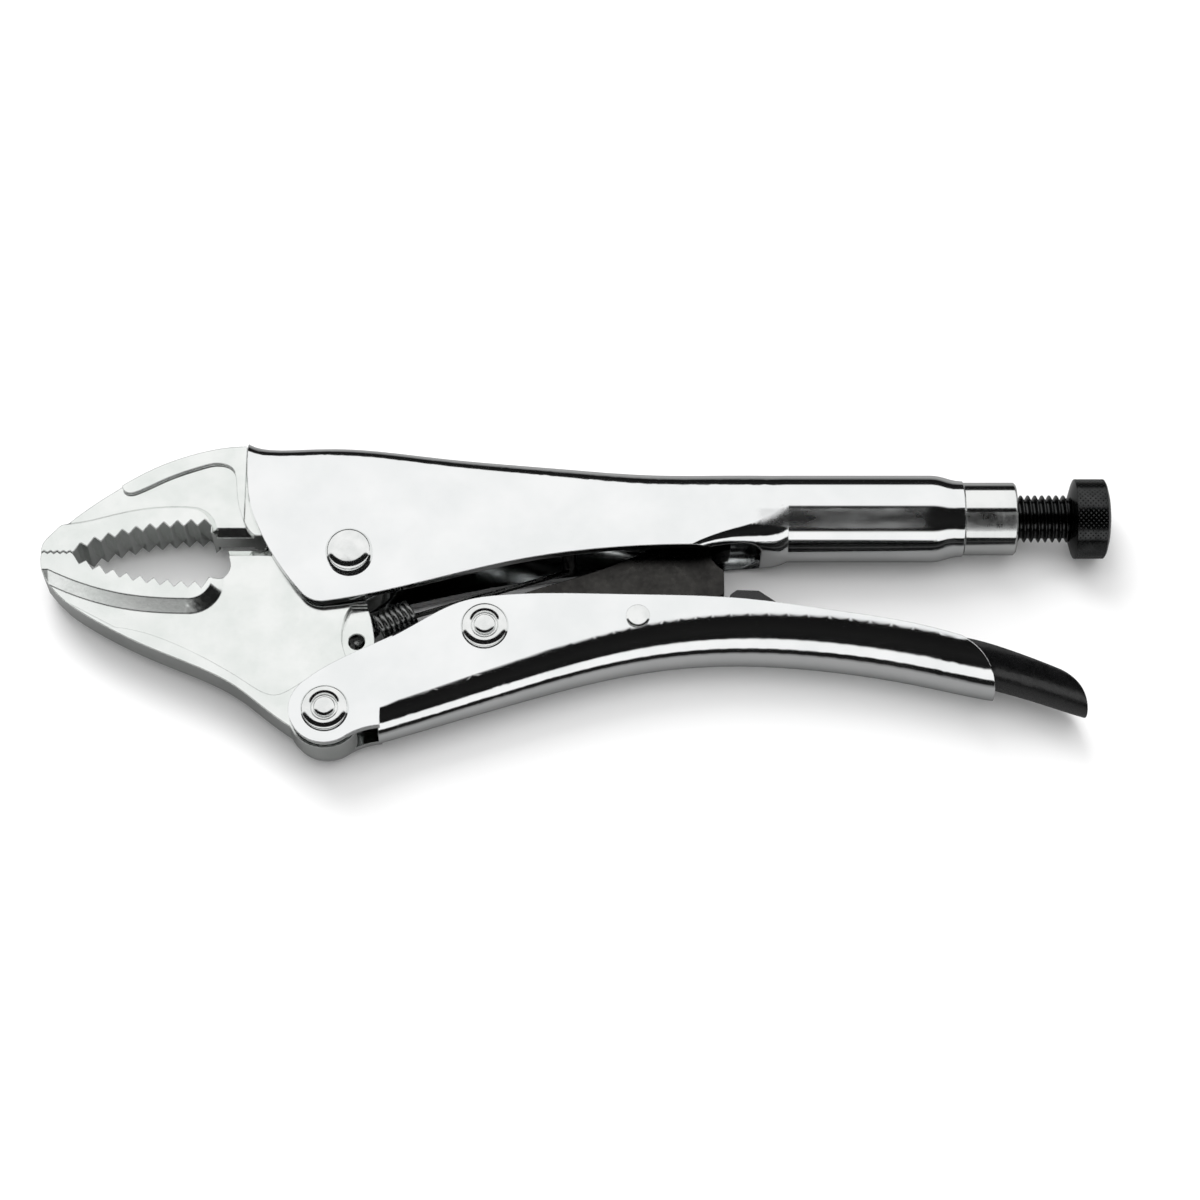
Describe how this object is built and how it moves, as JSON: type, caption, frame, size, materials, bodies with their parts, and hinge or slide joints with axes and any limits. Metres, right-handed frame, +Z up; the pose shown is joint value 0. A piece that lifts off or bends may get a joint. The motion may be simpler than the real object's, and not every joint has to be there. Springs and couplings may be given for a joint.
{
  "type": "locking pliers",
  "caption": "Chrome locking pliers with curved toothed jaws, a toggle linkage, a knurled adjusting screw and a release lever.",
  "frame": {"origin": "centre of the tool's box in length and width, on the surface it lies on", "axes": "+X along the tool from the jaw tips to the screw head, +Y from the lower handle to the upper handle, +Z up across the thickness"},
  "size_m": [0.2252, 0.0698, 0.0184],
  "materials": {
    "handle_chrome": "bright chrome plate on folded steel sheet",
    "jaw_chrome": "chrome plate on forged steel",
    "rivet_chrome": "bright chrome plate on steel rivets",
    "bush_chrome": "chrome plate on turned steel",
    "dark_steel": "dark oiled steel",
    "black_lever": "satin black on steel",
    "black_oxide": "black oxide on steel",
    "spring_steel": "drawn spring wire"
  },
  "bodies": {
    "upper_body": {"upper_handle": "handle_chrome", "fixed_jaw": "jaw_chrome", "screw_bush": "bush_chrome", "main_rivet": "rivet_chrome", "spring_anchor": "dark_steel", "tension_spring": "spring_steel"},
    "lower_jaw": {"lower_jaw": "jaw_chrome"},
    "lower_handle": {"lower_handle": "handle_chrome", "jaw_rivet": "rivet_chrome", "link_rivet": "rivet_chrome", "lever_rivet": "rivet_chrome"},
    "toggle_link": {"toggle_link": "dark_steel"},
    "release_lever": {"release_lever": "black_lever"},
    "adjusting_screw": {"adjusting_screw": "black_oxide"}
  },
  "joints": [
    {"name": "jaw_opening", "type": "hinge", "parent": "upper_body", "child": "lower_jaw", "pos_m": [-0.048, 0.0077, 0.0092], "axis": [0, 0, 1], "range_deg": [0, 30], "deforming": ["tension_spring"]},
    {"name": "handle_pivot", "type": "hinge", "parent": "lower_jaw", "child": "lower_handle", "pos_m": [-0.0521, -0.027, 0.0092], "axis": [0, 0, 1], "range_deg": [-72, 0]},
    {"name": "link_pivot", "type": "hinge", "parent": "lower_handle", "child": "toggle_link", "pos_m": [-0.0194, -0.00905, 0.0092], "axis": [0, 0, 1], "range_deg": [0, 73]},
    {"name": "release_pivot", "type": "hinge", "parent": "lower_handle", "child": "release_lever", "pos_m": [0.01235, -0.0074, 0.0092], "axis": [0, 0, 1], "range_deg": [0, 4]},
    {"name": "screw_travel", "type": "slide", "parent": "upper_body", "child": "adjusting_screw", "axis": [1, 0, 0], "range_m": [0, 0.012]}
  ],
  "couplings": [
    {"joint": "handle_pivot", "follows": "jaw_opening", "ratio": -2.363},
    {"joint": "link_pivot", "follows": "jaw_opening", "ratio": 2.402}
  ]
}
